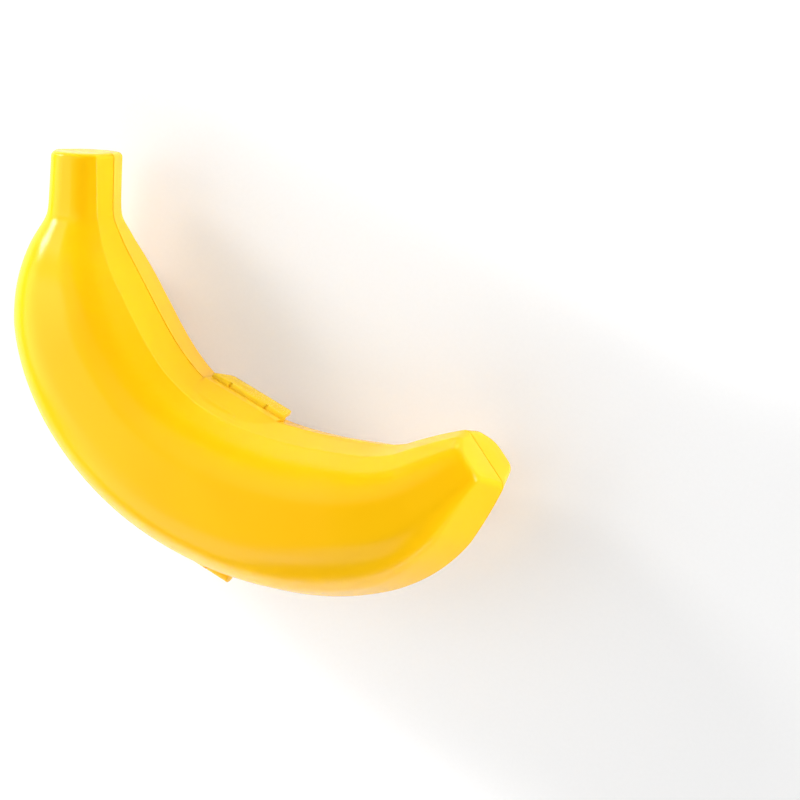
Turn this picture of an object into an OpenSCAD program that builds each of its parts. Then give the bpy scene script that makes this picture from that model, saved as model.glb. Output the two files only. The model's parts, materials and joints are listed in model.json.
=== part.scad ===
// Carrying case for one banana: two hinged half shells held shut by a flip latch.
// The case lies on its side. X runs along the hinge from stem to tip, Y from the
// hinge to the latch, Z up. The origin is on the table under the middle of the belly.
// All sizes in millimetres and degrees.

/* [Body line] */
// straight length of the stem
stem_straight = 33.5; // [29:0.5:36]
// bend radius between stem and belly
stem_bend = 91; // [86:1:98]
// angle turned between stem and belly
stem_turn = 67; // [63:1:70]
// bend radius of the belly on the tip side
belly_bend = 131; // [124:1:146]
// angle turned by the belly on the tip side
belly_turn = 32.5; // [29:0.5:35]
// bend radius next to the tip
tip_bend = 58; // [54:1:68]
// angle turned next to the tip
tip_turn = 30; // [26:0.5:33]
// straight length of the tip
tip_straight = 24; // [20:1:26]

/* [Body size] */
// half width of the belly across the seam
half_width = 31.5; // [29.5:0.5:32.5]
// half depth of the belly, from the seam to the flat side
half_depth = 30; // [28:0.5:31]
// half width of the stem
stem_half_width = 13.6; // [12.6:0.1:14.6]
// half depth of the stem
stem_half_depth = 13.2; // [12.2:0.1:14.2]
// half width of the tip
tip_half_width = 12.3; // [11.3:0.1:13.3]
// half depth of the tip
tip_half_depth = 15.2; // [14.2:0.1:16.2]
// distance from the stem end to the shoulder
neck_start = 24.7; // [22.7:0.1:26.7]
// length over which the shoulder starts softly
neck_soft = 2.5; // [1.5:0.5:5.5]
// length over which the width grows to the belly
width_reach = 82.5; // [74.5:0.5:86.5]
// length over which the depth grows to the belly
depth_reach = 56.5; // [52.5:0.5:60.5]
// distance from the stem end at which the width starts to shrink
width_fade = 148; // [142:1:154]
// distance from the stem end at which the depth starts to shrink
depth_fade = 210.5; // [203.5:0.5:215.5]
// rounding of the stem end
stem_edge = 2; // [1:0.5:3]
// rounding of the tip end
tip_edge = 2; // [1:0.25:2.5]

/* [Section] */
// place of the inner ridge across, as a part of the half width
ridge_across = 0.91; // [0.88:0.01:0.93]
// place of the inner ridge in depth, as a part of the half depth
ridge_deep = 0.51; // [0.47:0.01:0.55]
// inner corner of the flat side, as a part of the half width
flat_inner = 0.61; // [0.58:0.01:0.64]
// outer corner of the flat side, as a part of the half width
flat_outer = 0.72; // [0.68:0.01:0.74]
// length over which the section of the stem turns into that of the belly
stem_blend = 60; // [54:1:66]
// length over which the section of the belly turns into that of the tip
tip_blend = 50; // [45:1:55]

/* [Walls] */
// wall thickness of both shells
wall = 2.4; // [2.2:0.1:2.6]
// thickness of the outer lip of the base rim
rim_lip = 1.2; // [1.1:0.05:1.25]
// height of the tongue under the lid rim
tongue_height = 0.9; // [0.7:0.1:1.1]

/* [Hinge and latch] */
// how far the hinge and the latch sit from the middle towards the tip
catch_x = 3.5; // [2:0.5:5]
// length of the hinge
hinge_length = 50; // [46:1:54]
// outer radius of the hinge knuckles
knuckle_radius = 2.6; // [2.4:0.1:2.8]
// radius of the hinge pin
hinge_pin_radius = 1.2; // [1:0.1:1.3]
// length of the latch along the hinge direction
latch_length = 34; // [31:1:36]
// height of the latch pad over the middle of the inner side
pad_rise = 2.2; // [2:0.1:2.5]
// how far the latch pad reaches down the side of the lid
pad_down = 10; // [8.5:0.5:11]
// how far the lip of the pad reaches over the base
lip_reach = 4; // [3.5:0.25:4.5]
// height of the flap over the lip
flap_step = 1.2; // [1:0.1:1.4]
// thickness of the flap
flap_thick = 1.6; // [1.4:0.1:1.6]
// length of the flap below its pivot
flap_drop = 7.5; // [7:0.25:9]
// how much shorter the free edge of the flap is at its end towards the stem
flap_taper = 4.4; // [3.4:0.2:4.8]
// how much shorter the free edge of the flap is at its end towards the tip
flap_tip_taper = 1.6; // [1:0.2:2.6]
// outer radius of the latch barrel and its lugs
barrel_radius = 1.7; // [1.6:0.05:1.85]
// radius of the latch pin
latch_pin_radius = 0.8; // [0.7:0.05:0.9]
// thickness of the two lugs that hold the latch pin
lug_thick = 3; // [2.5:0.25:3.5]
// length of the catch rib and of the hook under it
catch_length = 22; // [18:1:24]
// depth of the hook behind the catch
catch_grip = 0.5; // [0.4:0.05:0.6]

/* [Fits] */
// open gap along the seam
seam_gap = 0.3; // [0.25:0.05:0.4]
// gap round parts that swing past each other
swing_gap = 0.35; // [0.3:0.05:0.4]
// clearance between a pin and a hole that turns on it
turn_fit = 0.05; // [0.03:0.01:0.08]

/* [Hidden] */
$fn = 64;

// stations along the body line, measured from the stem end
function arc_length(r, t) = r * t * PI / 180;
function arc_angle(r, d) = d / r * 180 / PI;
middle = stem_straight + arc_length(stem_bend, stem_turn);
belly_end = middle + arc_length(belly_bend, belly_turn);
tip_start = belly_end + arc_length(tip_bend, tip_turn);
body_length = tip_start + tip_straight;

// direction of the body line at a station
function heading(s) =
    s < stem_straight ? -stem_turn :
    s < middle ? -arc_angle(stem_bend, middle - s) :
    s < belly_end ? arc_angle(belly_bend, s - middle) :
    s < tip_start ? belly_turn + arc_angle(tip_bend, s - belly_end) :
    belly_turn + tip_turn;

// point on the body line at a station
function ahead(a) = [cos(a), sin(a)];
function aside(a) = [-sin(a), cos(a)];
function arc_point(p, a, r, t) = p + r * aside(a) - r * aside(a + t);
stem_foot = arc_point([0, 0], 0, stem_bend, -stem_turn);
belly_foot = arc_point([0, 0], 0, belly_bend, belly_turn);
tip_foot = arc_point(belly_foot, belly_turn, tip_bend, tip_turn);
function line_point(s) =
    s < stem_straight ? stem_foot - (stem_straight - s) * ahead(-stem_turn) :
    s < middle ? arc_point([0, 0], 0, stem_bend, heading(s)) :
    s < belly_end ? arc_point([0, 0], 0, belly_bend, heading(s)) :
    s < tip_start ? arc_point(belly_foot, belly_turn, tip_bend, heading(s) - belly_turn) :
    tip_foot + (s - tip_start) * ahead(belly_turn + tip_turn);

// half width and half depth of the body at a station
function soft_start(d) = (d + sqrt(d * d + neck_soft * neck_soft)) / 2;
function grow(s, reach) = 1 - pow(1 - min(1, soft_start(s - neck_start) / reach), 3);
function shrink(s, from, power) = 1 - pow(max(0, s - from) / (body_length - from), power);
function width_at(s) =
    s < width_fade ? stem_half_width + (half_width - stem_half_width) * grow(s, width_reach) :
    tip_half_width + (half_width - tip_half_width) * shrink(s, width_fade, 3);
function depth_at(s) =
    s < middle ? stem_half_depth + (half_depth - stem_half_depth) * grow(s, depth_reach) :
    tip_half_depth + (half_depth - tip_half_depth) * shrink(s, depth_fade, 2);

// the section keeps its ridge on the stem and turns round at the tip
function stem_share(s) = max(0, 1 - s / stem_blend);
function tip_share(s) = max(0, 1 - (body_length - s) / tip_blend);
function mix(belly, stem, tip, s) = belly + (stem - belly) * stem_share(s) + (tip - belly) * tip_share(s);
ridge_belly = [ridge_across, ridge_deep];
ridge_stem = [0.85, 0.7];
ridge_tip = [0.86, 0.55];
flat_belly = [flat_inner, flat_outer];
flat_stem = [0.5, 0.5];
flat_tip = [0.45, 0.5];
corner_belly = [0.22, 0.35, 0.75];
corner_stem = [0.3, 0.6, 0.8];
corner_tip = [0.7, 0.65, 0.7];

// rounded corner at v between the neighbours a and b
function unit(p) = p / norm(p);
function corner(a, v, b, r) =
    let (u = unit(a - v), w = unit(b - v))
    let (turn = 180 - acos(u * w))
    let (c = v + unit(u + w) * r / cos(turn / 2))
    let (p = v + u * r * tan(turn / 2) - c)
    let (start = atan2(p.y, p.x))
    [for (k = [0:4]) c + r * [cos(start + turn * k / 4), sin(start + turn * k / 4)]];

// upper half of a section, from the inner seam over the flat side to the outer seam
function half_section(w, d, s, seam) =
    let (a = [w, 0], e = [-w, 0])
    let (k = mix(ridge_belly, ridge_stem, ridge_tip, s), f = mix(flat_belly, flat_stem, flat_tip, s))
    let (ridge = [w * k[0], d * k[1]], inner = [w * f[0], d], outer = [-w * f[1], d])
    let (r = mix(corner_belly, corner_stem, corner_tip, s) * min(w, d))
    concat([[w, seam]], corner(a, ridge, inner, r[0]), corner(ridge, inner, outer, r[1]),
        corner(inner, outer, e, r[2]), [[-w, seam]]);

// ring of points in space at a station, drawn in from the surface
function ring(s, inset, seam) =
    let (p = line_point(s), n = aside(heading(s)))
    [for (q = half_section(width_at(s) - inset, depth_at(s) - inset, s, seam))
        [p.x + q.x * n.x, p.y + q.x * n.y, q.y]];

// solid through a row of rings
module loft(rings) {
    m = len(rings[0]);
    last = len(rings) - 1;
    points = [for (r = rings) each r];
    sides = [for (i = [0:last - 1], j = [0:m - 1]) let (k = (j + 1) % m)
        each [[i * m + j, (i + 1) * m + j, (i + 1) * m + k], [i * m + j, (i + 1) * m + k, i * m + k]]];
    caps = [[for (j = [0:m - 1]) j], [for (j = [m - 1:-1:0]) last * m + j]];
    polyhedron(points, concat(sides, caps), convexity = 6);
}

// stations along the body
steps = 46;
function rail(from, to) = [for (k = [0:steps]) from + (to - from) * k / steps];

// upper half of the body and of the space inside it
module half_body() {
    stem_end = [for (q = [90, 60, 30]) [stem_edge * (1 - sin(q)), stem_edge * (1 - cos(q))]];
    tip_end = [for (q = [30, 60, 90]) [body_length - tip_edge * (1 - sin(q)), tip_edge * (1 - cos(q))]];
    between = [for (s = rail(stem_edge, body_length - tip_edge)) [s, 0]];
    loft([for (t = concat(stem_end, between, tip_end)) ring(t[0], t[1], seam_gap / 2)]);
}
module half_space() {
    loft([for (s = rail(wall, body_length - wall)) ring(s, wall, -1)]);
}

// seam outline drawn in from the surface
function outline(inset) =
    let (places = rail(inset, body_length - inset), last = len(places) - 1)
    concat([for (s = places) line_point(s) + (width_at(s) - inset) * aside(heading(s))],
        [for (k = [last:-1:0]) let (s = places[k]) line_point(s) - (width_at(s) - inset) * aside(heading(s))]);

// the hinge axis lies just outside the body at the ends of the straight hinge
function outer_drop(x, r) = r - sqrt(r * r - x * x);
tip_drop = outer_drop(hinge_length / 2 + catch_x, belly_bend + half_width);
stem_drop = outer_drop(hinge_length / 2 - catch_x, stem_bend + half_width);
hinge_y = -(half_width - min(tip_drop, stem_drop)) - swing_gap;
knuckle_pitch = hinge_length / 5;
knuckle_gap = 0.5;

// the latch pivot lies behind the lip of the pad
lip_top = half_width + pad_rise;
flap_face = lip_top + flap_step;
latch_y = flap_face - barrel_radius;
latch_z = -lip_reach - swing_gap - barrel_radius;
lip_under = min(latch_y - barrel_radius, half_width - 0.2);
recess_floor = lip_under - swing_gap;
flap_back = flap_face - flap_thick;
flap_end = latch_z - flap_drop;
hook_thick = 1.7;
hook_height = 1.4;
hook_edge = flap_back - hook_height;
catch_thick = 1.5;
catch_root = 4.2;
catch_under = flap_end + hook_thick + swing_gap;
lug_from = latch_length / 4 - lug_thick / 2;
lug_to = lug_from + lug_thick;

// how far cutting blocks reach past the surface and into the rim
past = 9;
into_rim = 12;

// round bar along the hinge direction
module bar(y, z, r, x0, x1) {
    translate([x0, y, z]) rotate([0, 90, 0]) cylinder(h = x1 - x0, r = r);
}
// block between two corners
module block(a, b) {
    translate(a) cube(b - a);
}
// profile given as points (y, z), drawn along the hinge direction
module beam(shape, x0, x1) {
    translate([x0, 0, 0]) rotate([90, 0, 90]) linear_extrude(x1 - x0) polygon(shape);
}

// half shell with thicker walls behind the hinge and the latch
module half_shell() {
    reach = hinge_length / 2 + swing_gap;
    clear = knuckle_radius + swing_gap;
    boss = clear + 1.6 * wall;
    difference() {
        half_body();
        difference() {
            half_space();
            bar(hinge_y, 0, boss, catch_x - reach - wall, catch_x + reach + wall);
            block([catch_x - latch_length / 2 - 2 * wall, recess_floor - wall, -2],
                [catch_x + latch_length / 2 + 2 * wall, half_width + past, pad_down]);
        }
        bar(hinge_y, 0, clear, catch_x - reach, catch_x + reach);
        block([catch_x - reach, -half_width - past, -1], [catch_x + reach, hinge_y + seam_gap / 2, half_depth / 2]);
    }
}

// hinge knuckles with their webs, on the upper side of the seam
module knuckles(places) {
    for (k = places) {
        x0 = catch_x - hinge_length / 2 + knuckle_pitch * k + knuckle_gap / 2;
        x1 = x0 + knuckle_pitch - knuckle_gap;
        bar(hinge_y, 0, knuckle_radius, x0, x1);
        block([x0, hinge_y, seam_gap], [x1, hinge_y + knuckle_radius + swing_gap + 1.2, knuckle_radius]);
    }
}
module hinge_hole(r) {
    bar(hinge_y, 0, r, catch_x - hinge_length, catch_x + hinge_length);
}

// zones along the seam where the rim makes room for the hinge and the latch
module rim_breaks() {
    hinge_half = hinge_length / 2 + swing_gap + wall + 1;
    latch_half = latch_length / 2 + 2 * wall + 1;
    block([catch_x - hinge_half, -half_width - past, -4], [catch_x + hinge_half, hinge_y + into_rim, 4]);
    block([catch_x - latch_half, half_width - into_rim, -4], [catch_x + latch_half, half_width + past, 4]);
}

module base_shell() {
    half_latch = latch_length / 2 + swing_gap;
    rebate = tongue_height + seam_gap;
    color("gold") translate([0, 0, half_depth]) difference() {
        union() {
            difference() {
                mirror([0, 0, 1]) half_shell();
                difference() {
                    translate([0, 0, -rebate]) linear_extrude(rebate + 1) polygon(outline(rim_lip));
                    rim_breaks();
                }
                block([catch_x - half_latch, recess_floor, -half_depth],
                    [catch_x + half_latch, half_width + past, 1]);
            }
            mirror([0, 0, 1]) knuckles([0, 2, 4]);
            block([catch_x - catch_length / 2, half_width - catch_root, catch_under],
                [catch_x + catch_length / 2, hook_edge + catch_grip, catch_under + catch_thick]);
        }
        hinge_hole(hinge_pin_radius);
    }
}

module lid_shell() {
    x0 = catch_x - latch_length / 2;
    x1 = catch_x + latch_length / 2;
    foot = half_width * (1 - (1 - ridge_across) * pad_down / (half_depth * ridge_deep));
    color("gold") translate([0, 0, half_depth]) difference() {
        union() {
            half_shell();
            difference() {
                translate([0, 0, -tongue_height]) linear_extrude(tongue_height + 0.6) difference() {
                    polygon(outline(rim_lip + seam_gap));
                    polygon(outline(wall - 0.1));
                }
                rim_breaks();
            }
            knuckles([1, 3]);
            beam([[lip_under, -lip_reach], [lip_top - 0.5, -lip_reach], [lip_top, 0.5 - lip_reach],
                [lip_top, 0.6], [foot - 0.1, pad_down], [recess_floor - wall / 2, 0.5], [lip_under, 0.5]], x0, x1);
            for (x = [catch_x - lug_to, catch_x + lug_from]) {
                bar(latch_y, latch_z, barrel_radius, x, x + lug_thick);
                block([x, lip_under, latch_z], [x + lug_thick, lip_top - 0.5, 0.5 - lip_reach]);
            }
        }
        hinge_hole(hinge_pin_radius + turn_fit);
        bar(latch_y, latch_z, latch_pin_radius, x0, x1);
    }
}

module hinge_pin() {
    color("silver") translate([0, 0, half_depth])
        bar(hinge_y, 0, hinge_pin_radius, catch_x - hinge_length / 2 + 0.5, catch_x + hinge_length / 2 - 0.5);
}

module latch_pin() {
    color("silver") translate([0, 0, half_depth])
        bar(latch_y, latch_z, latch_pin_radius, catch_x - latch_length / 2 + 2 * swing_gap,
            catch_x + latch_length / 2 - 2 * swing_gap);
}

module latch_flap() {
    half = latch_length / 2 - swing_gap;
    slot_from = lug_from - swing_gap;
    slot_to = lug_to + swing_gap;
    stem_free = latch_length / 2 - flap_taper;
    tip_free = latch_length / 2 - flap_tip_taper;
    ear = latch_z - barrel_radius - swing_gap;
    color("khaki") translate([catch_x, 0, half_depth]) difference() {
        union() {
            for (x = [[-half, -slot_to], [-slot_from, slot_from], [slot_to, half]])
                bar(latch_y, latch_z, barrel_radius, x[0], x[1]);
            translate([0, flap_face, 0]) rotate([90, 0, 0]) linear_extrude(flap_thick)
                polygon([[-half, latch_z], [-stem_free - 0.6, flap_end + 1.4], [-stem_free + 1, flap_end],
                    [tip_free - 1, flap_end], [tip_free + 0.2, flap_end + 1.2], [half, latch_z],
                    [slot_to, latch_z], [slot_to, ear], [slot_from, ear], [slot_from, latch_z],
                    [-slot_from, latch_z], [-slot_from, ear], [-slot_to, ear], [-slot_to, latch_z]]);
            block([-catch_length / 2, hook_edge, flap_end],
                [catch_length / 2, flap_back + 0.5, flap_end + hook_thick]);
        }
        bar(latch_y, latch_z, latch_pin_radius + turn_fit, -latch_length, latch_length);
    }
}

base_shell();
lid_shell();
hinge_pin();
latch_flap();
latch_pin();
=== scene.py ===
"""Banana carrying case in yellow moulded plastic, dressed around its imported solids."""
import json
import math

import bmesh
import bpy
from mathutils import Matrix, Vector


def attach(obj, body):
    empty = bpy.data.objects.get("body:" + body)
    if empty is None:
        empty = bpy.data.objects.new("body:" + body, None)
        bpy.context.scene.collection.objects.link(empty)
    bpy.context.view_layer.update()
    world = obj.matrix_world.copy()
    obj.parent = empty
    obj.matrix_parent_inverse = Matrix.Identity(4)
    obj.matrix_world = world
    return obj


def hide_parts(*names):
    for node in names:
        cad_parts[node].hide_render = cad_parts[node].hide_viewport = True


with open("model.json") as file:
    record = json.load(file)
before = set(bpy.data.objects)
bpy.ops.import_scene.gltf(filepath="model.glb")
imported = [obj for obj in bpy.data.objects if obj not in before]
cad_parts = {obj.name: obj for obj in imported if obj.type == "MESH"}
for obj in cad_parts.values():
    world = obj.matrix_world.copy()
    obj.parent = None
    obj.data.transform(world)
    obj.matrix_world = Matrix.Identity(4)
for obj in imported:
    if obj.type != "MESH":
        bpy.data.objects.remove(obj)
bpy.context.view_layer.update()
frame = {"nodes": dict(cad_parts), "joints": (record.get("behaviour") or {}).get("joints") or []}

MM = 0.001

# body line, as the solids have it, in millimetres and degrees
STEM_STRAIGHT = 33.5
STEM_BEND, STEM_TURN = 91.0, math.radians(67.0)
BELLY_BEND, BELLY_TURN = 131.0, math.radians(32.5)
TIP_BEND, TIP_TURN = 58.0, math.radians(30.0)
TIP_STRAIGHT = 24.0
MIDDLE = STEM_STRAIGHT + STEM_BEND * STEM_TURN
BELLY_END = MIDDLE + BELLY_BEND * BELLY_TURN
TIP_START = BELLY_END + TIP_BEND * TIP_TURN
BODY_LENGTH = TIP_START + TIP_STRAIGHT
NECK_START, NECK_SOFT = 24.7, 2.5
WIDTH_REACH, DEPTH_REACH = 82.5, 56.5
WIDTH_FADE, DEPTH_FADE = 148.0, 210.5
STEM_BLEND, TIP_BLEND = 60.0, 50.0
STEM_EDGE, TIP_EDGE = 2.0, 2.0

# section on the belly, the stem and the tip: its corners as parts of the half sizes, and their radii
RIDGE_ACROSS = (0.91, 0.85, 0.86)
RIDGE_DEEP = (0.51, 0.7, 0.55)
FLAT_INNER = (0.6, 0.5, 0.42)
FLAT_OUTER = (0.72, 0.5, 0.5)
CORNER_RIDGE = (0.08, 0.08, 0.25)
CORNER_INNER = (0.6, 0.9, 0.7)
CORNER_OUTER = (0.75, 0.8, 0.3)

# sizes of the shells
HALF_WIDTH, HALF_DEPTH = 31.5, 30.0
STEM_HALF_WIDTH, STEM_HALF_DEPTH = 13.6, 13.2
TIP_HALF_WIDTH, TIP_HALF_DEPTH = 12.3, 15.2
WALL = 2.4
SEAM_GAP, SWING_GAP = 0.3, 0.35
SEAM_EDGE = 0.35
RIM_LIP, TONGUE, REBATE = 1.2, 0.9, 1.2

# hinge and latch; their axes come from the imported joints
AXES = {joint["name"]: joint["pos_m"] for joint in frame["joints"]}
CATCH_X, HINGE_Y, SEAM_Z = (value / MM for value in AXES["lid_hinge"])
LATCH_Y = AXES["latch_hinge"][1] / MM
LATCH_Z = AXES["latch_hinge"][2] / MM - SEAM_Z
HINGE_LENGTH, KNUCKLE_RADIUS, KNUCKLE_GAP = 50.0, 2.6, 0.5
LATCH_LENGTH, PAD_RISE, PAD_DOWN, LIP_REACH = 34.0, 2.2, 10.0, 4.0
PAD_EDGE, PAD_BROW = 1.0, 0.6
PAD_RUN_STEM, PAD_RUN_TIP = 8.0, 4.0
BARREL_RADIUS, LUG_THICK, LUG_RADIUS, LUG_GAP, SKIN = 1.7, 0.9, 1.35, 0.12, 0.3
FLAP_THICK, FLAP_DROP, FLAP_TAPER, FLAP_TIP_TAPER = 1.6, 7.5, 4.4, 1.6
CATCH_LENGTH, CATCH_THICK, CATCH_GRIP = 22.0, 1.5, 0.5
HOOK_THICK, HOOK_HEIGHT = 1.7, 1.4
LIP_TOP = HALF_WIDTH + PAD_RISE
FLAP_FACE = LATCH_Y + BARREL_RADIUS
LIP_UNDER = min(LATCH_Y - BARREL_RADIUS, HALF_WIDTH - 0.2)
RECESS_FLOOR = LIP_UNDER - SWING_GAP
PAD_FOOT = HALF_WIDTH * (1 - (1 - RIDGE_ACROSS[0]) * PAD_DOWN / (HALF_DEPTH * RIDGE_DEEP[0]))
LUG_FROM = LATCH_LENGTH / 4 - LUG_THICK / 2
LUG_TO = LUG_FROM + LUG_THICK
LATCH_STRETCH = (90.0, 190.0)
HINGE_STRETCH = (60.0, 215.0)


class Wire:
    """One socket of a node tree. Arithmetic on it adds the nodes that work it out."""

    def __init__(self, tree, socket=None):
        self.tree = tree
        self.socket = socket

    def add(self, kind, settings=None, sockets=None, out=0):
        """Any node: its type, its settings, the values or wires of its sockets and the output wanted."""
        node = self.tree.nodes.new(kind)
        for name, value in (settings or {}).items():
            if name == "stops":
                for element, (place, colour) in zip(node.color_ramp.elements, value):
                    element.position = place
                    element.color = colour
            else:
                setattr(node, name, value)
        for name, value in (sockets or {}).items():
            if isinstance(value, Wire):
                self.tree.links.new(value.socket, node.inputs[name])
            else:
                node.inputs[name].default_value = value
        return Wire(self.tree, node.outputs[out])

    def maths(self, operation, *values):
        return self.add("ShaderNodeMath", {"operation": operation}, dict(enumerate(values)))

    def __add__(self, other):
        return self.maths("ADD", self, other)

    __radd__ = __add__

    def __sub__(self, other):
        return self.maths("SUBTRACT", self, other)

    def __rsub__(self, other):
        return self.maths("SUBTRACT", other, self)

    def __mul__(self, other):
        return self.maths("MULTIPLY", self, other)

    __rmul__ = __mul__

    def __truediv__(self, other):
        return self.maths("DIVIDE", self, other)

    def __rtruediv__(self, other):
        return self.maths("DIVIDE", other, self)

    def __neg__(self):
        return self.maths("MULTIPLY", self, -1.0)

    def __abs__(self):
        return self.maths("ABSOLUTE", self)

    def __lt__(self, other):
        return self.maths("LESS_THAN", self, other)

    def __gt__(self, other):
        return self.maths("GREATER_THAN", self, other)

    def least(self, other):
        return self.maths("MINIMUM", self, other)

    def most(self, other):
        return self.maths("MAXIMUM", self, other)

    def held(self, low, high):
        return self.most(low).least(high)

    def root(self):
        return self.maths("SQRT", self.most(0.0))

    def sine(self):
        return self.maths("SINE", self)

    def cosine(self):
        return self.maths("COSINE", self)

    def towards(self, other, share):
        return self + (other - self) * share


def new_tree(name, inputs):
    """Empty geometry tree with named inputs; gives the tree and its incoming wires."""
    tree = bpy.data.node_groups.new(name, "GeometryNodeTree")
    tree.interface.new_socket("Geometry", in_out="INPUT", socket_type="NodeSocketGeometry")
    tree.interface.new_socket("Geometry", in_out="OUTPUT", socket_type="NodeSocketGeometry")
    for title, kind in inputs.items():
        tree.interface.new_socket(title, in_out="INPUT", socket_type="NodeSocket" + kind)
    source = tree.nodes.new("NodeGroupInput")
    return tree, {socket.name: Wire(tree, socket) for socket in source.outputs if socket.name}


def close_tree(tree, geometry, material):
    """Ends a tree in Realize Instances and Set Material."""
    whole = geometry.add("GeometryNodeRealizeInstances", None, {"Geometry": geometry})
    painted = whole.add("GeometryNodeSetMaterial", None, {"Geometry": whole, "Material": material})
    sink = tree.nodes.new("NodeGroupOutput")
    tree.links.new(painted.socket, sink.inputs[0])


def run_tree(piece, tree, values):
    """Runs a tree on a piece with these inputs and keeps the result as a plain mesh."""
    modifier = piece.modifiers.new(tree.name, "NODES")
    modifier.node_group = tree
    names = {item.name: item.identifier for item in tree.interface.items_tree if item.in_out == "INPUT"}
    for title, value in values.items():
        modifier[names[title]] = value
    keep_result(piece)


def keep_result(piece):
    """Turns a piece with modifiers into a plain mesh without them."""
    bpy.context.view_layer.update()
    evaluated = piece.evaluated_get(bpy.context.evaluated_depsgraph_get())
    mesh = bpy.data.meshes.new_from_object(evaluated)
    piece.modifiers.clear()
    piece.data = mesh


def new_piece(name, mesh):
    piece = bpy.data.objects.new(name, mesh)
    bpy.context.scene.collection.objects.link(piece)
    return piece


def smooth_faces(piece, angle=32.0):
    """Welds doubles, turns faces outwards, and shades smooth with sharp creases."""
    work = bmesh.new()
    work.from_mesh(piece.data)
    bmesh.ops.remove_doubles(work, verts=work.verts, dist=0.004 * MM)
    bmesh.ops.dissolve_degenerate(work, edges=work.edges, dist=0.002 * MM)
    bmesh.ops.recalc_face_normals(work, faces=work.faces)
    work.to_mesh(piece.data)
    work.free()
    piece.data.shade_smooth()
    piece.data.set_sharp_from_angle(angle=math.radians(angle))


def shell_ring(tongue):
    """Ring round one half shell: place along the section, depth into the wall, lift off the seam."""
    counts = (30, 9, 6, 10, 10, 18, 30)
    outer = []
    for part, count in enumerate(counts):
        for k in range(count):
            t = k / count
            if part == 0:
                t = t ** 1.4
            if part == 6:
                t = 1 - (1 - t) ** 1.4
            outer.append((part + t, 0.0, 0.0))
    outer.append((7.0, 0.0, 0.0))
    edge = SEAM_GAP / 2 + SEAM_EDGE
    rounding = [(SEAM_EDGE * (1 - math.cos(a)), edge - SEAM_EDGE * math.sin(a))
                for a in (math.radians(d) for d in (22.5, 45, 67.5, 90))]
    low = SEAM_GAP / 2
    if tongue:
        side = RIM_LIP + SEAM_GAP
        step = [(side, low), (side, 0.2 - TONGUE), (side + 0.2, -TONGUE), (WALL - 0.3, -TONGUE),
                (WALL - 0.1, 0.2 - TONGUE), (WALL - 0.1, low), (WALL, edge)]
    else:
        step = [(RIM_LIP - 0.2, low), (RIM_LIP, low + 0.2), (RIM_LIP, REBATE), (WALL - 0.2, REBATE),
                (WALL, REBATE + 0.2)]
    rim = rounding + step
    inner_counts = (16, 5, 3, 5, 5, 9, 18)
    inner = []
    for part, count in enumerate(inner_counts):
        inner += [(part + k / count, WALL, 0.0) for k in range(count)]
    inner.append((7.0, WALL, 0.0))
    ring = outer + [(7.0, depth, lift) for depth, lift in rim] + inner[::-1]
    ring += [(0.0, depth, lift) for depth, lift in reversed(rim)]
    return ring + [ring[0]]


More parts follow.
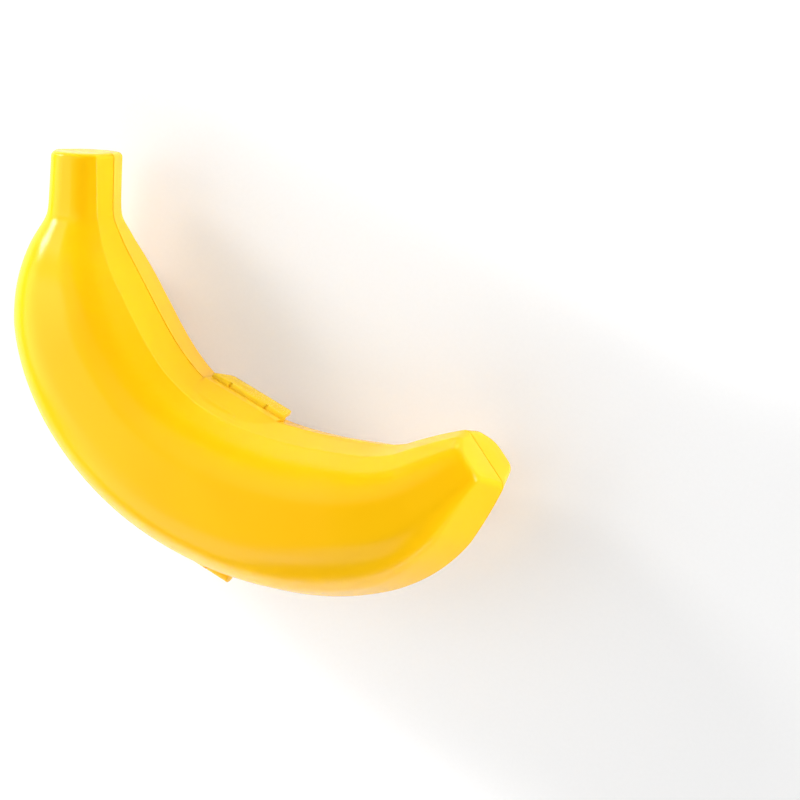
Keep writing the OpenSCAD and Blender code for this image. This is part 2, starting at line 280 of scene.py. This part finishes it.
def shell_tree(material):
    """Sweeps a ring along the curved body line and works in the hinge and the latch."""
    sizes = ["Stem half width", "Stem half depth", "Half width", "Half depth", "Tip half width",
             "Tip half depth", "Wall", "Hinge length", "Latch length", "Pad", "Side"]
    tree, wire = new_tree("half_shell", {title: "Float" for title in sizes})
    half_width, half_depth, wall, pad = (wire[name] for name in ("Half width", "Half depth", "Wall", "Pad"))
    ring = wire["Geometry"]
    edge_rows = 7
    between = 262
    rows = between + 1 + 2 * edge_rows + 2

    # grid of rows along the body and columns round the ring
    columns = ring.add("GeometryNodeAttributeDomainSize", {"component": "MESH"}, {"Geometry": ring})
    grid = ring.add("GeometryNodeMeshGrid", None, {"Vertices X": rows, "Vertices Y": columns})
    index = ring.add("GeometryNodeInputIndex") + 0.5
    row = ring.maths("FLOOR", index / columns)
    column = index - row * columns
    position = ring.add("GeometryNodeInputPosition")
    template = ring.add("GeometryNodeSampleIndex", {"data_type": "FLOAT_VECTOR", "domain": "POINT"},
                        {"Geometry": ring, "Value": position, "Index": column})
    parts = ring.add("ShaderNodeSeparateXYZ", None, {0: template})
    place = parts
    depth = Wire(tree, parts.socket.node.outputs[1])
    lift = Wire(tree, parts.socket.node.outputs[2])
    inward = depth / wall

    # place along the body, with rounded ends that close in the middle of the end faces
    stem_angle = (1 - ((row - 1) / edge_rows).held(0.0, 1.0)) * (math.pi / 2)
    tip_angle = (1 - ((rows - 2 - row) / edge_rows).held(0.0, 1.0)) * (math.pi / 2)
    span = BODY_LENGTH - STEM_EDGE - TIP_EDGE
    along = ((row - 1 - edge_rows) / between).held(0.0, 1.0) * span + STEM_EDGE
    along = along - stem_angle.sine() * STEM_EDGE + tip_angle.sine() * TIP_EDGE
    inset = (1 - stem_angle.cosine()) * STEM_EDGE + (1 - tip_angle.cosine()) * TIP_EDGE
    closing = (row < 0.5) + (row > rows - 1.5)
    along = along * (1 - depth * (2 / BODY_LENGTH)) + depth

    # direction and point of the body line
    stem_part = (along - STEM_STRAIGHT).held(0.0, STEM_BEND * STEM_TURN) / STEM_BEND
    belly_part = (along - MIDDLE).held(0.0, BELLY_BEND * BELLY_TURN) / BELLY_BEND
    tip_part = (along - BELLY_END).held(0.0, TIP_BEND * TIP_TURN) / TIP_BEND
    heading = stem_part + belly_part + tip_part - STEM_TURN
    last = BELLY_TURN + TIP_TURN
    x = along.least(STEM_STRAIGHT) * math.cos(STEM_TURN) + (along - TIP_START).most(0.0) * math.cos(last)
    y = along.least(STEM_STRAIGHT) * -math.sin(STEM_TURN) + (along - TIP_START).most(0.0) * math.sin(last)
    for radius, start, turned in ((STEM_BEND, -STEM_TURN, stem_part), (BELLY_BEND, 0.0, belly_part),
                                  (TIP_BEND, BELLY_TURN, tip_part)):
        x = x + ((turned + start).sine() - math.sin(start)) * radius
        y = y - ((turned + start).cosine() - math.cos(start)) * radius
    x = x - (STEM_STRAIGHT * math.cos(STEM_TURN) + STEM_BEND * math.sin(STEM_TURN))
    y = y + (STEM_STRAIGHT * math.sin(STEM_TURN) + STEM_BEND * (1 - math.cos(STEM_TURN)))

    # half width and half depth along the body
    from_neck = along - NECK_START
    soft = (from_neck + (from_neck * from_neck + NECK_SOFT * NECK_SOFT).root()) / 2

    def swelling(stem, belly, tip, reach, fade, power):
        left = 1 - (soft / reach).least(1.0)
        past = (along - fade).most(0.0) / (BODY_LENGTH - fade)
        shrunk = past * past * past if power == 3 else past * past
        return belly - (belly - stem) * (left * left * left) - (belly - tip) * shrunk

    stem_width, stem_depth = wire["Stem half width"], wire["Stem half depth"]
    tip_width, tip_depth = wire["Tip half width"], wire["Tip half depth"]
    width = swelling(stem_width, half_width, tip_width, WIDTH_REACH, WIDTH_FADE, 3) - inset - depth
    deep = swelling(stem_depth, half_depth, tip_depth, DEPTH_REACH, DEPTH_FADE, 2) - inset - depth
    stem_share = (1 - along / STEM_BLEND).most(0.0)
    tip_share = (1 - (BODY_LENGTH - along) / TIP_BLEND).most(0.0)

    # section with three rounded corners, walked from the inner seam to the outer seam
    def blend(values):
        belly, stem, tip = values
        return stem_share * (stem - belly) + tip_share * (tip - belly) + belly

    def unit(a, b):
        long = (a * a + b * b).root()
        return a / long, b / long

    def corner(before, at, after, radius):
        ax, ay = unit(before[0] - at[0], before[1] - at[1])
        bx, by = unit(after[0] - at[0], after[1] - at[1])
        turn = math.pi - ring.maths("ARCCOSINE", (ax * bx + ay * by).held(-1.0, 1.0))
        mx, my = unit(ax + bx, ay + by)
        away = radius / (turn / 2).cosine()
        reach = radius * ring.maths("TANGENT", turn / 2)
        centre = at[0] + mx * away, at[1] + my * away
        enter = at[0] + ax * reach, at[1] + ay * reach
        leave = at[0] + bx * reach, at[1] + by * reach
        start = ring.maths("ARCTAN2", enter[1] - centre[1], enter[0] - centre[0])
        return centre, enter, leave, start, turn, radius

    small = width.least(deep)
    seam_in = width, width * 0.0
    seam_out = -width, width * 0.0
    ridge = width * blend(RIDGE_ACROSS), deep * blend(RIDGE_DEEP)
    flat_in = width * blend(FLAT_INNER), deep
    flat_out = -width * blend(FLAT_OUTER), deep
    radii = [blend(values) * small for values in (CORNER_RIDGE, CORNER_INNER, CORNER_OUTER)]
    corners = [corner(seam_in, ridge, flat_in, radii[0]), corner(ridge, flat_in, flat_out, radii[1]),
               corner(flat_in, flat_out, seam_out, radii[2])]
    low = SEAM_GAP / 2 + SEAM_EDGE
    rise_in = low / ridge[1]
    rise_out = low / deep
    begin = width + (ridge[0] - width) * rise_in, deep * 0.0 + low
    finish = (flat_out[0] + width) * rise_out - width, deep * 0.0 + low
    share = [(place - k).held(0.0, 1.0) for k in range(7)]
    across, up = begin
    leave = begin
    for k, (centre, enter, off, start, turn, radius) in enumerate(corners):
        straight, bend = share[2 * k], share[2 * k + 1]
        angle = start + turn * bend
        across = across + (enter[0] - leave[0]) * straight + centre[0] + angle.cosine() * radius - enter[0]
        up = up + (enter[1] - leave[1]) * straight + centre[1] + angle.sine() * radius - enter[1]
        leave = off
    across = across + (finish[0] - leave[0]) * share[6]
    up = up + (finish[1] - leave[1]) * share[6]

    # the rim keeps its own height, and its step stops at the hinge and the latch
    half_hinge = wire["Hinge length"] / 2 + SWING_GAP
    half_latch = wire["Latch length"] / 2
    on_rim = (depth > 0.001) * (depth < wall - 0.001)
    up = up.towards(low, closing)
    across = across * (1 - closing)
    x_seam = x - heading.sine() * across
    off_middle = abs(x_seam - CATCH_X)
    inner_side = place < 3.5
    outer_side = 1 - inner_side
    by_latch = inner_side * (along > LATCH_STRETCH[0]) * (along < LATCH_STRETCH[1])
    by_hinge = outer_side * (along > HINGE_STRETCH[0]) * (along < HINGE_STRETCH[1])
    plain = by_latch * (off_middle < half_latch + wall * 2 + 1)
    plain = plain + by_hinge * (off_middle < half_hinge + wall + 1)
    low_rim = lift.least(SEAM_GAP / 2).most(SEAM_GAP / 2 - 0.001)
    stepped = lift.towards(low_rim, plain)
    up = up.towards(stepped, on_rim)
    x = x_seam
    y = y + heading.cosine() * across

    # thicker wall behind the latch, pad on one half and recess in the other
    def within(distance, limit, soft_edge):
        return ((limit - distance) / soft_edge + 0.5).held(0.0, 1.0)

    slab = y.least(RECESS_FLOOR - WALL)
    backing = within(off_middle, half_latch + wall * 2, 1.0) * within(up, PAD_DOWN, 1.0)
    y = y.towards(slab, inward * by_latch * backing)
    slope = (LIP_TOP - PAD_FOOT - PAD_EDGE) / (PAD_DOWN - PAD_BROW)
    pad_face = LIP_TOP - (up - PAD_BROW).most(0.0) * slope
    raised = ring.maths("SMOOTH_MAX", y, pad_face, 0.4)
    on_lip = within(off_middle, half_latch, 0.8)
    sideways = x - CATCH_X
    stem_run = 1 - (-half_latch - sideways) / PAD_RUN_STEM
    tip_run = 1 - (sideways - half_latch) / PAD_RUN_TIP
    ramp = stem_run.least(tip_run).held(0.0, 1.0)
    ramp = ramp * ramp * (3 - ramp * 2) * ((up - PAD_BROW) / 5.0).held(0.0, 1.0)
    pad_zone = by_latch * on_lip.most(ramp) * within(up, PAD_DOWN + 0.7, 2.0)
    y = y.towards(raised, pad * pad_zone * (1 - inward))
    recess_zone = by_latch * within(off_middle, half_latch + SWING_GAP, 0.6)
    y = y.towards(y.least(RECESS_FLOOR), (1 - pad) * recess_zone)

    # groove for the knuckles outside and a round boss behind it
    clear = KNUCKLE_RADIUS + SWING_GAP
    boss = clear + 1.6 * WALL
    groove = ((clear * clear - up * up).root() + HINGE_Y).most(HINGE_Y + SEAM_GAP / 2)
    behind = (boss * boss - up * up).root() + HINGE_Y
    hollowed = y.most(groove.towards(behind, inward))
    y = y.towards(hollowed, by_hinge * within(off_middle, half_hinge + inward * wall, 0.4))

    # to metres, on the right side of the seam
    place_at = ring.add("ShaderNodeCombineXYZ", None,
                        {0: x * MM, 1: y * MM, 2: (up * wire["Side"] + SEAM_Z) * MM})
    shaped = ring.add("GeometryNodeSetPosition", None, {"Geometry": grid, "Position": place_at})
    welded = ring.add("GeometryNodeMergeByDistance", None, {"Geometry": shaped, "Distance": 0.003 * MM})
    close_tree(tree, welded, material)
    return tree


def half_shell(name, tree, side, pad):
    """One half shell as a plain mesh: side 1 lies above the seam, side -1 below it."""
    mesh = bpy.data.meshes.new(name)
    ring = shell_ring(pad > 0)
    mesh.from_pydata(ring, [(k, k + 1) for k in range(len(ring) - 1)], [])
    piece = new_piece(name, mesh)
    run_tree(piece, tree, {"Stem half width": STEM_HALF_WIDTH, "Stem half depth": STEM_HALF_DEPTH,
                           "Half width": HALF_WIDTH, "Half depth": HALF_DEPTH,
                           "Tip half width": TIP_HALF_WIDTH, "Tip half depth": TIP_HALF_DEPTH,
                           "Wall": WALL, "Hinge length": HINGE_LENGTH, "Latch length": LATCH_LENGTH,
                           "Pad": pad, "Side": side})
    smooth_faces(piece)
    return piece


def round_outline(points, radii, steps=6):
    """Closed outline of straight lines with rounded corners."""
    rounded = []
    count = len(points)
    for k, (point, radius) in enumerate(zip(points, radii)):
        at = Vector(point)
        if radius == 0:
            rounded.append(tuple(at))
            continue
        back = (Vector(points[k - 1]) - at).normalized()
        on = (Vector(points[(k + 1) % count]) - at).normalized()
        half = math.acos(max(-1.0, min(1.0, back.dot(on)))) / 2
        reach = radius / math.tan(half)
        centre = at + (back + on).normalized() * radius / math.sin(half)
        first, final = at + back * reach - centre, at + on * reach - centre
        sweep = first.angle_signed(final)
        for j in range(steps + 1):
            turned = Matrix.Rotation(-sweep * j / steps, 2) @ first
            rounded.append(tuple(centre + turned))
    return rounded


def slab_between(work, outline, axis, low, high):
    """Adds a closed prism to a mesh in work: an outline drawn along an axis (0 is X, 1 is Y)."""
    ends = []
    for level in (low, high):
        corners = []
        for a, b in outline:
            point = (level, a, b) if axis == 0 else (a, level, b)
            corners.append(work.verts.new(Vector(point) * MM))
        ends.append(corners)
    count = len(outline)
    faces = [work.faces.new(ends[0]), work.faces.new(ends[1][::-1])]
    for k in range(count):
        n = (k + 1) % count
        faces.append(work.faces.new((ends[0][n], ends[0][k], ends[1][k], ends[1][n])))
    bmesh.ops.recalc_face_normals(work, faces=faces)


def piece_of(name, prisms, material, edge, lift=0.0):
    """Piece made of prisms with rounded edges."""
    work = bmesh.new()
    for outline, axis, low, high in prisms:
        slab_between(work, outline, axis, low, high)
    work.transform(Matrix.Translation((0, 0, lift * MM)))
    mesh = bpy.data.meshes.new(name)
    work.to_mesh(mesh)
    work.free()
    piece = new_piece(name, mesh)
    bevel = piece.modifiers.new("rounded edges", "BEVEL")
    bevel.width = edge * MM
    bevel.segments = 3
    bevel.limit_method = "ANGLE"
    bevel.angle_limit = math.radians(40.0)
    bevel.harden_normals = False
    keep_result(piece)
    piece.data.materials.clear()
    piece.data.materials.append(material)
    smooth_faces(piece, 40.0)
    return piece


def circle(y, z, radius, count=40):
    return [(y + radius * math.cos(2 * math.pi * k / count), z + radius * math.sin(2 * math.pi * k / count))
            for k in range(count)]


def row_tree(material):
    """Repeats a piece in a straight row along the hinge."""
    tree, wire = new_tree("hinge_row", {"Count": "Int", "Pitch": "Float"})
    step = wire["Pitch"].add("ShaderNodeCombineXYZ", None, {0: wire["Pitch"]})
    spots = step.add("GeometryNodeMeshLine", None, {"Count": wire["Count"], "Offset": step})
    row = spots.add("GeometryNodeInstanceOnPoints", None, {"Points": spots, "Instance": wire["Geometry"]})
    close_tree(tree, row, material)
    return tree


def knuckle_outline(side):
    """Round knuckle with a web that reaches into the shell on one side of the seam."""
    y0, reach = HINGE_Y, KNUCKLE_RADIUS + SWING_GAP + 1.2
    web_low, web_high = SEAM_GAP, KNUCKLE_RADIUS
    start = math.asin(web_low / KNUCKLE_RADIUS)
    points = [(y0 + KNUCKLE_RADIUS * math.cos(a), KNUCKLE_RADIUS * math.sin(a))
              for a in (math.pi / 2 + (1.5 * math.pi + start) * k / 40 for k in range(41))]
    points += [(y0 + reach, web_low), (y0 + reach, web_high)]
    return [(y, z * side) for y, z in points]


def knuckle_row(name, tree, side, first, count, material):
    """Row of knuckles on one half shell, every second place along the hinge."""
    pitch = HINGE_LENGTH / 5
    low = CATCH_X - HINGE_LENGTH / 2 + pitch * first + KNUCKLE_GAP / 2
    knuckle = knuckle_outline(side), 0, low, low + pitch - KNUCKLE_GAP
    piece = piece_of(name, [knuckle], material, 0.3, SEAM_Z)
    run_tree(piece, tree, {"Count": count, "Pitch": 2 * pitch * MM})
    smooth_faces(piece, 40.0)
    return piece


def latch_lip(material):
    """Lip of the lid's pad over the base, with the two lugs that carry the latch pin."""
    half = LATCH_LENGTH / 2
    outline = [(LIP_UNDER, -LIP_REACH), (LIP_TOP, -LIP_REACH), (LIP_TOP, 0.5), (LIP_TOP - 1.2, 2.6),
               (LIP_UNDER, 2.6)]
    outline = round_outline(outline, (0, 0.6, 0.8, 0, 0))
    prisms = [(outline, 0, CATCH_X - half, CATCH_X + half)]
    for low in (CATCH_X - LUG_TO, CATCH_X + LUG_FROM):
        around = [(LATCH_Y + LUG_RADIUS * math.cos(a), LATCH_Z + LUG_RADIUS * math.sin(a))
                  for a in (math.pi + math.radians(308.0) * k / 36 for k in range(37))]
        lug = around + [(LATCH_Y - 0.75, 0.8 - LIP_REACH), (LATCH_Y - BARREL_RADIUS, 0.8 - LIP_REACH)]
        prisms.append((lug, 0, low, low + LUG_THICK))
    return piece_of("latch_lip", prisms, material, 0.3, SEAM_Z)


def latch_flap(material):
    """Flip latch: three barrels on its pin, a tapered plate and a hook at the free edge."""
    half = LATCH_LENGTH / 2 - SWING_GAP
    slot_from, slot_to = LUG_FROM - LUG_GAP, LUG_TO + LUG_GAP
    stem_free = LATCH_LENGTH / 2 - FLAP_TAPER
    tip_free = LATCH_LENGTH / 2 - FLAP_TIP_TAPER
    ear = LATCH_Z - LUG_RADIUS - LUG_GAP
    low = LATCH_Z - FLAP_DROP
    back = FLAP_FACE - FLAP_THICK
    outline = [(-half, LATCH_Z), (-stem_free, low), (tip_free, low), (half, LATCH_Z),
               (slot_to, LATCH_Z), (slot_to, ear), (slot_from, ear), (slot_from, LATCH_Z),
               (-slot_from, LATCH_Z), (-slot_from, ear), (-slot_to, ear), (-slot_to, LATCH_Z)]
    outline = round_outline(outline, (0, 3.0, 1.6, 0, 0, 0.4, 0.4, 0, 0, 0.4, 0.4, 0))
    outline = [(CATCH_X + a, b) for a, b in outline]
    hook = [(back - HOOK_HEIGHT, low + 0.05), (back + 0.5, low + 0.05), (back + 0.5, low + HOOK_THICK),
            (back - HOOK_HEIGHT, low + HOOK_THICK)]
    prisms = [(circle(LATCH_Y, LATCH_Z, BARREL_RADIUS), 0, CATCH_X + start, CATCH_X + end)
              for start, end in ((-half, -slot_to), (-slot_from, slot_from), (slot_to, half))]
    skin = [(FLAP_FACE - SKIN, ear - 0.3), (FLAP_FACE, ear - 0.3), (FLAP_FACE, LATCH_Z + SKIN),
            (FLAP_FACE - SKIN, LATCH_Z + SKIN)]
    prisms += [(skin, 0, CATCH_X + start, CATCH_X + start + slot_to - slot_from + 0.6)
               for start in (-slot_to - 0.3, slot_from - 0.3)]
    prisms += [(outline, 1, back, FLAP_FACE),
               (hook, 0, CATCH_X - CATCH_LENGTH / 2, CATCH_X + CATCH_LENGTH / 2)]
    return piece_of("flip_latch", prisms, material, 0.35, SEAM_Z)


def catch_rib(material):
    """Rib on the base that the hook of the flap goes under."""
    under = LATCH_Z - FLAP_DROP + HOOK_THICK + SWING_GAP
    top = FLAP_FACE - FLAP_THICK - HOOK_HEIGHT + CATCH_GRIP
    root = HALF_WIDTH - 4.2
    outline = [(root, under), (top, under), (top, under + CATCH_THICK), (root, under + CATCH_THICK)]
    half = CATCH_LENGTH / 2
    return piece_of("catch_rib", [(outline, 0, CATCH_X - half, CATCH_X + half)], material, 0.3, SEAM_Z)


def moulded_plastic(name, pale, strong, roughness):
    """Glossy dyed plastic with a faint flow in its colour and a fine moulded skin."""
    material = bpy.data.materials.new(name)
    material.use_nodes = True
    tree = material.node_tree
    shader = tree.nodes["Principled BSDF"]
    start = Wire(tree)
    place = start.add("ShaderNodeTexCoord", None, None, "Object")
    flow = start.add("ShaderNodeTexNoise", None,
                     {"Vector": place, "Scale": 24.0, "Detail": 3.0, "Distortion": 0.6})
    skin = start.add("ShaderNodeTexNoise", None, {"Vector": place, "Scale": 1900.0, "Detail": 2.0})
    wave = start.add("ShaderNodeTexNoise", None, {"Vector": place, "Scale": 55.0, "Detail": 1.0})
    colour = start.add("ShaderNodeValToRGB", {"stops": [(0.25, strong), (0.75, pale)]}, {0: flow})
    tree.links.new(colour.socket, shader.inputs["Base Color"])
    rough = (flow - 0.5) * 0.05 + (skin - 0.5) * 0.06 + roughness
    tree.links.new(rough.socket, shader.inputs["Roughness"])
    height = skin * 0.15 + wave
    bump = start.add("ShaderNodeBump", None, {"Height": height, "Strength": 0.25, "Distance": 0.00006})
    tree.links.new(bump.socket, shader.inputs["Normal"])
    shader.inputs["IOR"].default_value = 1.5
    shader.inputs["Specular IOR Level"].default_value = 0.17
    return material


def drawn_steel(name):
    """Plain steel wire with fine lines along it."""
    material = bpy.data.materials.new(name)
    material.use_nodes = True
    tree = material.node_tree
    shader = tree.nodes["Principled BSDF"]
    start = Wire(tree)
    place = start.add("ShaderNodeTexCoord", None, None, "Object")
    long_lines = start.add("ShaderNodeMapping", None, {"Vector": place, "Scale": (60.0, 2500.0, 2500.0)})
    lines = start.add("ShaderNodeTexNoise", None, {"Vector": long_lines, "Scale": 1.0, "Detail": 4.0})
    colour = start.add("ShaderNodeValToRGB",
                       {"stops": [(0.3, (0.42, 0.42, 0.41, 1)), (0.7, (0.66, 0.66, 0.65, 1))]}, {0: lines})
    tree.links.new(colour.socket, shader.inputs["Base Color"])
    rough = lines * 0.2 + 0.24
    tree.links.new(rough.socket, shader.inputs["Roughness"])
    shader.inputs["Metallic"].default_value = 1.0
    return material


# the photograph's view: turn of the body in its seam plane, turn away from it, and tilt
VIEW_TURN, VIEW_SWING, VIEW_TILT = math.radians(25.48), math.radians(27.02), math.radians(7.9)
VIEW_DISTANCE, PIXELS_PER_MM = 1200.0, 2.648
MIDDLE_PIXEL = (200.88, 471.54)
IMAGE = 800.0
FLOOR_WHITE = 0.45
ALONG = Vector((math.cos(VIEW_TURN), math.sin(VIEW_TURN), 0))
OVER = Vector((-math.sin(VIEW_TURN), math.cos(VIEW_TURN), 0))
UP = Vector((0, 0, 1))


def photograph_camera():
    """Camera at the photograph's viewing angle, framed for a square image."""
    level = ALONG * math.sin(VIEW_SWING) + UP * math.cos(VIEW_SWING)
    towards = level * math.cos(VIEW_TILT) + OVER * math.sin(VIEW_TILT)
    right = ALONG * math.cos(VIEW_SWING) - UP * math.sin(VIEW_SWING)
    upward = towards.cross(right)
    side = (MIDDLE_PIXEL[0] - IMAGE / 2) / PIXELS_PER_MM
    height = (IMAGE / 2 - MIDDLE_PIXEL[1]) / PIXELS_PER_MM
    spot = Vector((0, 0, SEAM_Z)) - right * side - upward * height + towards * VIEW_DISTANCE
    data = bpy.data.cameras.new("photograph_view")
    data.sensor_width = 36.0
    data.lens = data.sensor_width * PIXELS_PER_MM * VIEW_DISTANCE / IMAGE
    data.clip_end = 20.0
    camera = bpy.data.objects.new("photograph_view", data)
    bpy.context.scene.collection.objects.link(camera)
    turn = Matrix((right, upward, towards)).transposed().to_4x4()
    camera.matrix_world = Matrix.Translation(spot * MM) @ turn
    bpy.context.scene.camera = camera


def softbox(name, spot, size, power, at=Vector((0.0, 0.02, 0.03)), spread=180.0):
    """Soft lamp that looks at the case, or at a place on the floor."""
    data = bpy.data.lights.new(name, "AREA")
    data.shape = "RECTANGLE"
    data.size, data.size_y = size
    data.energy = power
    data.spread = math.radians(spread)
    lamp = bpy.data.objects.new(name, data)
    bpy.context.scene.collection.objects.link(lamp)
    lamp.location = spot
    lamp.rotation_euler = (at - spot).to_track_quat("-Z", "Y").to_euler()


def pale_paper(name):
    """White floor paper that the camera and reflections see near to white, with the shadow left on it."""
    material = bpy.data.materials.new(name)
    material.use_nodes = True
    tree = material.node_tree
    shader = tree.nodes["Principled BSDF"]
    start = Wire(tree)
    place = start.add("ShaderNodeTexCoord", None, None, "Object")
    fibres = start.add("ShaderNodeTexNoise", None, {"Vector": place, "Scale": 700.0, "Detail": 3.0})
    colour = start.add("ShaderNodeValToRGB",
                       {"stops": [(0.2, (0.88, 0.88, 0.88, 1)), (0.8, (0.92, 0.92, 0.92, 1))]}, {0: fibres})
    tree.links.new(colour.socket, shader.inputs["Base Color"])
    shader.inputs["Roughness"].default_value = 0.7
    seen = start.add("ShaderNodeLightPath", None, None, "Is Camera Ray")
    seen = seen.most(start.add("ShaderNodeLightPath", None, None, "Is Glossy Ray"))
    seen = seen.most(start.add("ShaderNodeLightPath", None, None, "Is Transmission Ray"))
    white = start.add("ShaderNodeEmission", None, {"Strength": 1.0})
    share = seen * FLOOR_WHITE
    mixed = start.add("ShaderNodeMixShader", None, {0: share, 1: Wire(tree, shader.outputs[0]), 2: white})
    tree.links.new(mixed.socket, tree.nodes["Material Output"].inputs["Surface"])
    return material


def studio():
    """White floor, even pale surroundings, soft lamps round the case and two on the floor beside it."""
    scene = bpy.context.scene
    scene.view_settings.view_transform = "Standard"
    floor_mesh = bpy.data.meshes.new("floor")
    half = 3.0
    floor_mesh.from_pydata([(-half, -half, 0), (half, -half, 0), (half, half, 0), (-half, half, 0)], [],
                           [(0, 1, 2, 3)])
    floor = new_piece("floor", floor_mesh)
    floor.data.materials.append(pale_paper("floor_paper"))
    world = bpy.data.worlds.new("studio")
    scene.world = world
    world.use_nodes = True
    world.node_tree.nodes["Background"].inputs["Color"].default_value = (1, 1, 1, 1)
    world.node_tree.nodes["Background"].inputs["Strength"].default_value = 0.06
    softbox("shoulder_softbox", ALONG * -0.68 + OVER * 0.66 + UP * 0.32, (0.24, 0.24), 7.0)
    softbox("wide_softbox", ALONG * -0.8 + OVER * 0.1 + UP * 0.62, (0.8, 0.8), 6.2)
    softbox("lower_softbox", ALONG * -0.7 + OVER * -0.6 + UP * 0.55, (0.6, 0.6), 2.9)
    softbox("front_softbox", ALONG * -0.1 + OVER * -0.65 + UP * 0.8, (0.8, 0.6), 3.3)
    softbox("upper_softbox", ALONG * -0.3 + OVER * 0.5 + UP * 0.9, (0.8, 0.8), 2.2)
    softbox("right_softbox", ALONG * 0.97 + OVER * 0.1 + UP * 0.12, (0.9, 0.22), 9.0)
    front = ALONG * 0.08 + OVER * -0.3
    softbox("front_floor_lamp", front + UP * 0.5, (0.6, 0.2), 2.0, front, 24.0)
    behind = ALONG * 0.12 + OVER * 0.28
    softbox("rear_floor_lamp", behind + UP * 0.5, (0.4, 0.2), 2.0, behind, 24.0)


photograph_camera()
studio()

yellow = moulded_plastic("yellow_plastic", (1.0, 0.565, 0.003, 1), (0.99, 0.53, 0.002, 1), 0.24)
# painted light: the flap is the case's own yellow plastic, made paler here to stand in for light on its
# upturned face and light shining through its thin plate
flap_yellow_painted_light = moulded_plastic("flap_plastic_painted_light", (1.0, 0.66, 0.016, 1), (1.0, 0.625, 0.012, 1), 0.26)
steel = drawn_steel("pin_steel")

loft = shell_tree(yellow)
knuckles = row_tree(yellow)
lid = half_shell("lid_half", loft, 1.0, 1.0)
base = half_shell("base_half", loft, -1.0, 0.0)
lid_knuckles = knuckle_row("lid_knuckles", knuckles, 1, 1, 2, yellow)
base_knuckles = knuckle_row("base_knuckles", knuckles, -1, 0, 3, yellow)
lip = latch_lip(yellow)
rib = catch_rib(yellow)
flap = latch_flap(flap_yellow_painted_light)

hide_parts("lid_shell")
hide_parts("base_shell")
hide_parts("latch_flap")
for piece, body, slot in ((lid, "lid", "shell"), (base, "base", "shell"), (lid_knuckles, "lid", "shell"),
                          (base_knuckles, "base", "shell"), (lip, "lid", "shell"), (rib, "base", "shell"),
                          (flap, "latch", "flap")):
    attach(piece, body)
for pin in ("hinge_pin", "latch_pin"):
    frame["nodes"][pin].data.materials.clear()
    frame["nodes"][pin].data.materials.append(steel)
